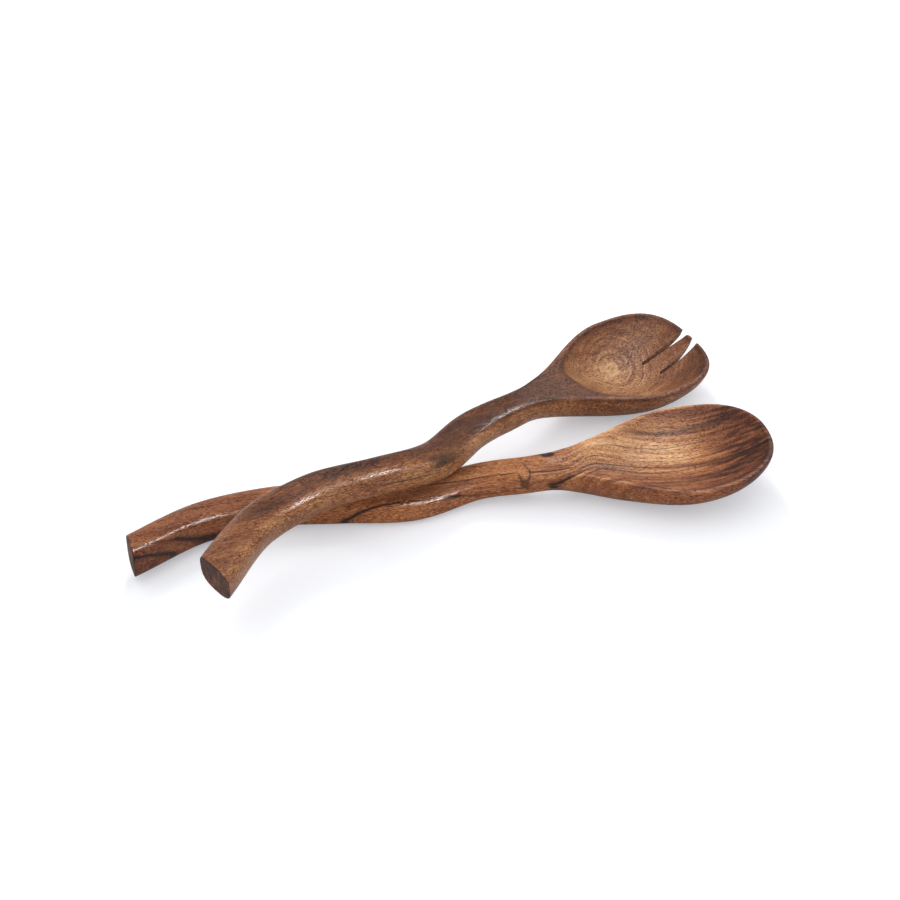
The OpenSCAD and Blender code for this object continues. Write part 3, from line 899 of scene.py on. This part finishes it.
# Each wood's own: patterns, how much the tone changes with them, how far its layers bend in mm, how
# dark its lines are, and the depth of its relief in mm
SPOON_WOOD = {
    **OILED_WOOD,
    "broad": (120, 7, 22), "bands": (60, 1.8, 7), "fibres": (4, 0.6, 0.65), "pores": (1.8, 0.42, 0.45),
    "broad_share": 0.45, "band_share": (0.36, 0.66), "pore_share": 0.3, "sawn_share": 0.24,
    "wander": 3.0, "vein_depth": 0.93, "bump": 0.17,
    "stripes": (200, 2.1, 9), "stripe_edge": (0.42, 0.58), "stripe_middle": 0.4, "stripe_share": -0.17,
    "mark_edge": (0.15, 0.8), "mark_share": 0.75,
}
FORK_WOOD = {
    **OILED_WOOD,
    "broad": (40, 8, 8), "bands": (26, 1.8, 1.8), "fibres": (3.6, 0.6, 0.6), "pores": (1.6, 0.42, 0.42),
    "broad_share": 0.42, "band_share": (0.3, 0.3), "pore_share": 0.32, "sawn_share": 0.33,
    "wander": 2.0, "vein_depth": 0.88, "bump": 0.15,
    "rings": (0.62, 1.5, 1.5), "ring_wander": 1.6, "ring_share": 1.5,
}
# The single numbers that the mesh keeps for every wood, and the middle of a noise
KEPT_ON_MESH = ("tone", "painted_rim_highlight", "dish", "sawn", "knot", "knot_dark")
NOISE_MIDDLE = 0.5
SMOOTH = {"interpolation_type": "SMOOTHSTEP"}
# Drying oil has about this index, and soaked into wood it reflects about half of what a varnish does
OIL_IOR = 1.47
OIL_SPECULAR = 0.27

# The floor's own colour, and the glow that only the camera sees
FLOOR_GREY = "#e1e3e7"
FLOOR_GLOW = "#f7faff"
FLOOR_GLOW_STRENGTH = 0.35
# The sky's colour, its strength, and its strength in reflections
SKY_WHITE = "#ffffff"
SKY_STRENGTH = 1.0
SKY_IN_GLOSS = 0.3


def add(tree, kind, *values, inputs=None, output=0, **settings):
    """Adds a node of a kind with its settings, and gives one of its outputs.

    Its inputs, in order or by key, are linked where the value is a socket and set where it isn't.
    """
    node = tree.nodes.new("ShaderNode" + kind)
    for key, value in settings.items():
        setattr(node, key, value)
    for key, value in {**dict(enumerate(values)), **(inputs or {})}.items():
        if isinstance(value, bpy.types.NodeSocket):
            tree.links.new(value, node.inputs[key])
        else:
            node.inputs[key].default_value = value
    return node.outputs[output] if len(node.outputs) else None


def new_material(name):
    """An empty node material and its tree."""
    material = bpy.data.materials.new(name)
    material.use_nodes = True
    material.node_tree.nodes.clear()
    return material, material.node_tree


def pattern(tree, place, sizes, offset=0.0, detail=2.0, roughness=0.5, output="Fac"):
    """Noise whose features measure sizes, in mm, along the three axes of a place.

    Offsets, in features, keep the patterns that share a place from lining up.
    """
    scales = [1 / (size * MM) for size in sizes]
    scaled = add(tree, "VectorMath", place, scales, (offset,) * 3, operation="MULTIPLY_ADD")
    inputs = {"Vector": scaled, "Scale": 1, "Detail": detail, "Roughness": roughness}
    return add(tree, "TexNoise", inputs=inputs, output=output)


def varied(tree, value, by, strength, middle=NOISE_MIDDLE):
    """The value plus a strength times what a pattern is above its middle."""
    above = add(tree, "Math", by, middle, operation="SUBTRACT")
    return add(tree, "Math", above, strength, value, operation="MULTIPLY_ADD")


def dark_lines(tree, grain, look, sets):
    """How dark the lines make a place: darkness / (1 + distance squared) to the 4th, added up over the lines.

    An attribute holds three lines, and a little noise keeps each line from running like a ruled one.
    """
    shaking = pattern(tree, grain, look["shaking"], 23, detail=3, output="Color")
    shaking = add(tree, "VectorMath", shaking, (NOISE_MIDDLE,) * 3, operation="SUBTRACT")
    total = 0
    for number in range(sets):
        distance = add(tree, "Attribute", attribute_name=f"veins_{number}", output="Vector")
        darkness = add(tree, "Attribute", attribute_name=f"vein_dark_{number}", output="Vector")
        distance = add(tree, "VectorMath", shaking, (look["wobble"],) * 3, distance, operation="MULTIPLY_ADD")
        spread = add(tree, "VectorMath", distance, distance, (1, 1, 1), operation="MULTIPLY_ADD")
        spread = add(tree, "VectorMath", spread, spread, operation="MULTIPLY")
        spread = add(tree, "VectorMath", spread, spread, operation="MULTIPLY")
        shares = add(tree, "VectorMath", darkness, spread, operation="DIVIDE")
        shares = add(tree, "VectorMath", shares, (1, 1, 1), operation="DOT_PRODUCT", output="Value")
        total = add(tree, "Math", total, shares, operation="ADD")
    return total


def wood_parts(tree, look):
    """What the wood is made of: the values kept on the mesh, and its bands, fibres and pores.

    The patterns lie along the grain, which is bent a little by broad noise.
    """
    parts = {key: add(tree, "Attribute", attribute_name=key, output="Fac") for key in KEPT_ON_MESH}
    grain = add(tree, "Attribute", attribute_name="grain", output="Vector")
    wandering = pattern(tree, grain, look["wandering"], output="Color")
    sideways = (0, look["wander"] * MM, look["wander"] * MM)
    bent = add(tree, "VectorMath", wandering, sideways, grain, operation="MULTIPLY_ADD")
    pores = pattern(tree, bent, look["pores"], 17)
    return parts | {
        "grain": grain,
        "wandering": wandering,
        "bent": bent,
        "bands": pattern(tree, bent, look["bands"], 7, detail=3, roughness=0.6),
        "fibres": pattern(tree, bent, look["fibres"], 11, detail=3, roughness=0.65),
        "pores": add(tree, "MapRange", pores, *look["pore_edge"], **SMOOTH),
    }


def wood_tone(tree, look, parts):
    """How pale the layers make a place, from 0 to 1: the mesh's tone, and what each pattern adds to it."""
    bent, dish, sawn = parts["bent"], parts["dish"], parts["sawn"]
    # The painted highlight just inside the rim raises the tone there
    tone = add(tree, "Math", parts["painted_rim_highlight"], look["painted_rim_highlight_share"], parts["tone"], operation="MULTIPLY_ADD")
    on_end = add(tree, "Math", sawn, look["end_share"], operation="MULTIPLY")
    tone = varied(tree, tone, pattern(tree, bent, look["end_layers"], 41), on_end)
    tone = varied(tree, tone, pattern(tree, bent, look["broad"], 3, detail=3), look["broad_share"])
    for by, strengths in ((parts["bands"], look["band_share"]), (parts["fibres"], look["fibre_share"])):
        tone = varied(tree, tone, by, add(tree, "MapRange", dish, 0, 1, *strengths, **SMOOTH))
    if "rings" in look:
        place = add(tree, "Attribute", attribute_name="layers", output="Vector")
        aside = (look["ring_wander"] * MM, 0, 0)
        place = add(tree, "VectorMath", parts["wandering"], aside, place, operation="MULTIPLY_ADD")
        rings = pattern(tree, place, look["rings"], 5, detail=3, roughness=0.65)
        ringed = add(tree, "Attribute", attribute_name="ringed", output="Fac")
        tone = varied(tree, tone, rings, add(tree, "Math", ringed, look["ring_share"], operation="MULTIPLY"))
    if "stripes" in look:
        stripes = pattern(tree, bent, look["stripes"], 31, detail=1.5)
        stripes = add(tree, "MapRange", stripes, *look["stripe_edge"], **SMOOTH)
        in_dish = add(tree, "Math", dish, look["stripe_share"], operation="MULTIPLY")
        tone = varied(tree, tone, stripes, in_dish, look["stripe_middle"])
    tone = add(tree, "Math", parts["pores"], -look["pore_share"], tone, operation="MULTIPLY_ADD")
    return add(tree, "Math", sawn, -look["sawn_share"], tone, operation="MULTIPLY_ADD")


def wood_dark(tree, look, parts, sets):
    """How dark the lines, the tongue of bark and the knots make a place, from 0 to 1: their sum."""
    patches = add(tree, "MapRange", parts["bands"], *look["patches"], **SMOOTH)
    dark = add(tree, "Math", dark_lines(tree, parts["grain"], look, sets), patches, operation="MULTIPLY")
    if "mark_share" in look:
        mark = add(tree, "Attribute", attribute_name="mark", output="Fac")
        mark = add(tree, "MapRange", mark, *look["mark_edge"], look["mark_share"], 0, **SMOOTH)
        dark = add(tree, "Math", dark, mark, operation="ADD")
    knot = varied(tree, parts["knot"], parts["fibres"], look["knot_fray"])
    knot = add(tree, "MapRange", knot, *look["knot_edge"], 1, 0, **SMOOTH)
    return add(tree, "Math", knot, parts["knot_dark"], dark, operation="MULTIPLY_ADD", use_clamp=True)


def stained(tree, tones, tone, dark):
    """The colour of a place: the tones at equal steps, mixed with the darkest where lines are dark."""
    ramp = add(tree, "ValToRGB", tone)
    stops = ramp.node.color_ramp.elements
    while len(stops) < len(tones):
        stops.new(0.5)
    for stop, position, stain in zip(stops, np.linspace(0, 1, len(tones)), tones):
        stop.position = position
        stop.color = (*stain, 1)
    # A Mix node's colour sockets go by number, because they share their names with its plain ones
    inputs = {0: dark, 6: ramp, 7: (*tones[0], 1)}
    return add(tree, "Mix", inputs=inputs, output=2, data_type="RGBA")


def wood(name, tones, look, sets):
    """Carved acacia, oiled: the pores stay open, so its satin sheen breaks up into fine flecks.

    Its colour follows the growth layers. Fibres run along the piece as hairlines, and show as dots
    where the surface cuts across them. Real fibres and pores are a tenth of a millimetre wide or
    less. Here they are drawn about 0.6 and 0.4 mm wide, so that they show.
    """
    material, tree = new_material(name)
    parts = wood_parts(tree, look)
    bands, fibres = parts["bands"], parts["fibres"]
    dark = wood_dark(tree, look, parts, sets)
    depth = add(tree, "Math", dark, look["vein_depth"], operation="MULTIPLY")
    surface = stained(tree, tones, wood_tone(tree, look, parts), depth)

    # Pores and dark lines are sunk, and fibres stand up by half as much as a pore is deep
    height = add(tree, "Math", fibres, 0.5, operation="MULTIPLY")
    height = add(tree, "Math", parts["pores"], -1, height, operation="MULTIPLY_ADD")
    height = add(tree, "Math", dark, -0.5, height, operation="MULTIPLY_ADD")
    relief = add(tree, "Bump", inputs={"Height": height, "Distance": look["bump"] * MM, "Strength": 1.0})

    # A hand polishes the handle and the rim, but not the dish and the sawn end
    rough = add(tree, "Math", fibres, look["fibre_rough"], bands, operation="MULTIPLY_ADD")
    rough = add(tree, "MapRange", rough, *look["gloss_range"], *look["roughness"], **SMOOTH)
    dull = add(tree, "Math", parts["sawn"], parts["dish"], operation="MAXIMUM")
    rough = add(tree, "Math", dull, look["dull"], rough, operation="MULTIPLY_ADD")
    shader = add(tree, "BsdfPrincipled", inputs={
        "Base Color": surface, "Roughness": rough, "Normal": relief,
        "IOR": OIL_IOR, "Specular IOR Level": OIL_SPECULAR,
    })
    add(tree, "OutputMaterial", shader)
    return material


def stage_material():
    """A plain white floor: a matt one that keeps the shadows, with a glow that only the camera sees."""
    material, tree = new_material("White sweep")
    seen = add(tree, "LightPath", output="Is Camera Ray")
    strength = add(tree, "Math", seen, FLOOR_GLOW_STRENGTH, operation="MULTIPLY")
    matt = add(tree, "BsdfDiffuse", (*linear(FLOOR_GREY), 1))
    glow = add(tree, "Emission", (*linear(FLOOR_GLOW), 1), strength)
    add(tree, "OutputMaterial", add(tree, "AddShader", matt, glow))
    return material


def white_world():
    """Soft white light from all round, and a third of it in reflections, so that dark wood stays dark."""
    world = bpy.data.worlds.new("Studio")
    world.use_nodes = True
    tree = world.node_tree
    tree.nodes.clear()
    glossy = add(tree, "LightPath", output="Is Glossy Ray")
    strength = add(tree, "MapRange", glossy, 0, 1, SKY_STRENGTH, SKY_IN_GLOSS)
    add(tree, "OutputWorld", add(tree, "Background", (*linear(SKY_WHITE), 1), strength))
    return world


# ---------------------------------------------------------------- operators

TONES = ("deepest", "dark", "mid", "light", "pale")
# Width of the floor in metres: far enough that its edge never shows
FLOOR_WIDTH = 12

# The lamps: name, place, width and height, and power in watts. They point at the origin. One gives
# only the sheen along the tops, and the other only soft light from behind.
SHEEN_LAMP = ("sheen", (0.47, 0.02, 0.94), (0.55, 0.28), 26)
BACK_LAMP = ("tall box behind", (0.02, 0.85, 0.72), (0.1, 0.5), 4)

# The camera: its lens and sensor in mm, and where it stands about the point that it looks at
LENS = 70.8
SENSOR = 36
LOOK_AT = (5.05 * MM, 28.31 * MM, 0)
CAMERA_DISTANCE = 893.95 * MM
CAMERA_AZIMUTH = math.radians(-9.11)
CAMERA_ELEVATION = math.radians(35.35)


def aim(thing, place, target):
    """Puts a lamp or a camera at a place and points it at a target."""
    thing.location = place
    thing.rotation_euler = (Vector(target) - Vector(place)).to_track_quat("-Z", "Y").to_euler()
    bpy.context.scene.collection.objects.link(thing)


def area_light(name, place, size, watts):
    """A soft rectangular lamp that points at the origin."""
    lamp = bpy.data.lights.new(name, "AREA")
    lamp.shape = "RECTANGLE"
    lamp.size, lamp.size_y = size
    lamp.energy = watts
    thing = bpy.data.objects.new(name, lamp)
    aim(thing, place, (0, 0, 0))
    return thing


class SERVERS_OT_spoon(bpy.types.Operator):
    """Carves the serving spoon"""

    bl_idname = "servers.spoon"
    bl_label = "Serving spoon"

    def execute(self, context):
        scene = context.scene
        carving = Carving(scene.spoon_sizes, scene.shared_sizes)
        piece = carve("spoon", carving)
        sets = figure(piece, carving, spoon_figure, SPOON_KNOTS)
        tones = [getattr(scene.wood_colours, f"spoon_{tone}") for tone in TONES]
        piece.data.materials.append(wood("Oiled acacia, red-brown", tones, SPOON_WOOD, sets))
        lay(piece, spoon_rest(carving.rings()), "salad_spoon", "spoon")
        return {"FINISHED"}


class SERVERS_OT_fork(bpy.types.Operator):
    """Carves the serving fork and cuts its two slots"""

    bl_idname = "servers.fork"
    bl_label = "Serving fork"

    def execute(self, context):
        scene = context.scene
        sizes, shared = scene.fork_sizes, scene.shared_sizes
        carving = Carving(sizes, shared)
        piece = carve("fork", carving, [slot_cutter(sizes, shared, carving, which) for which in (0, 1)])
        sets = figure(piece, carving, fork_figure, FORK_KNOTS)
        tones = [getattr(scene.wood_colours, f"fork_{tone}") for tone in TONES]
        piece.data.materials.append(wood("Oiled acacia, brown", tones, FORK_WOOD, sets))
        lay(piece, fork_rest(sizes, carving, carving.rings()), "salad_fork", "fork")
        return {"FINISHED"}


class SERVERS_OT_stage(bpy.types.Operator):
    """Lays the floor and sets the lamps and the camera"""

    bl_idname = "servers.stage"
    bl_label = "Stage"

    def execute(self, context):
        scene = context.scene
        bpy.ops.mesh.primitive_plane_add(size=FLOOR_WIDTH, location=(0, 0, 0))
        floor = context.active_object
        floor.name = "floor"
        floor.data.materials.append(stage_material())
        sheen = area_light(*SHEEN_LAMP)
        sheen.visible_diffuse = False
        back_light = area_light(*BACK_LAMP)
        back_light.visible_glossy = False
        scene.world = white_world()
        camera = bpy.data.cameras.new("camera")
        camera.lens = LENS
        camera.sensor_width = SENSOR
        scene.camera = bpy.data.objects.new("camera", camera)
        level = math.cos(CAMERA_ELEVATION)
        back = Vector((
            math.sin(CAMERA_AZIMUTH) * level, -math.cos(CAMERA_AZIMUTH) * level, math.sin(CAMERA_ELEVATION)
        ))
        aim(scene.camera, Vector(LOOK_AT) + back * CAMERA_DISTANCE, LOOK_AT)
        scene.view_settings.view_transform = "Standard"
        return {"FINISHED"}


class SERVERS_PT_panel(bpy.types.Panel):
    """Lists the servers' makers and their sizes"""

    bl_label = "Salad servers"
    bl_idname = "SERVERS_PT_panel"
    bl_space_type = "VIEW_3D"
    bl_region_type = "UI"
    bl_category = "Servers"

    def draw(self, context):
        layout = self.layout
        for operator in OPERATORS:
            layout.operator(operator.bl_idname)
        for group in SETTINGS:
            box = layout.box()
            box.label(text=group)
            settings = getattr(context.scene, group)
            for name in settings.bl_rna.properties.keys():
                if name not in ("rna_type", "name"):
                    box.prop(settings, name)


OPERATORS = (SERVERS_OT_spoon, SERVERS_OT_fork, SERVERS_OT_stage)
SETTINGS = {
    "shared_sizes": SharedSizes,
    "spoon_sizes": SpoonSizes,
    "fork_sizes": ForkSizes,
    "wood_colours": WoodColours,
}


def register():
    for cls in (*SETTINGS.values(), *OPERATORS, SERVERS_PT_panel):
        bpy.utils.register_class(cls)
    for name, cls in SETTINGS.items():
        setattr(bpy.types.Scene, name, PointerProperty(type=cls))


def unregister():
    for name in SETTINGS:
        delattr(bpy.types.Scene, name)
    for cls in (SERVERS_PT_panel, *reversed(OPERATORS), *reversed(list(SETTINGS.values()))):
        bpy.utils.unregister_class(cls)


def main():
    """Registers the classes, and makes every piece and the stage."""
    register()
    bpy.ops.servers.spoon()
    bpy.ops.servers.fork()
    bpy.ops.servers.stage()


if __name__ == "__main__":
    main()
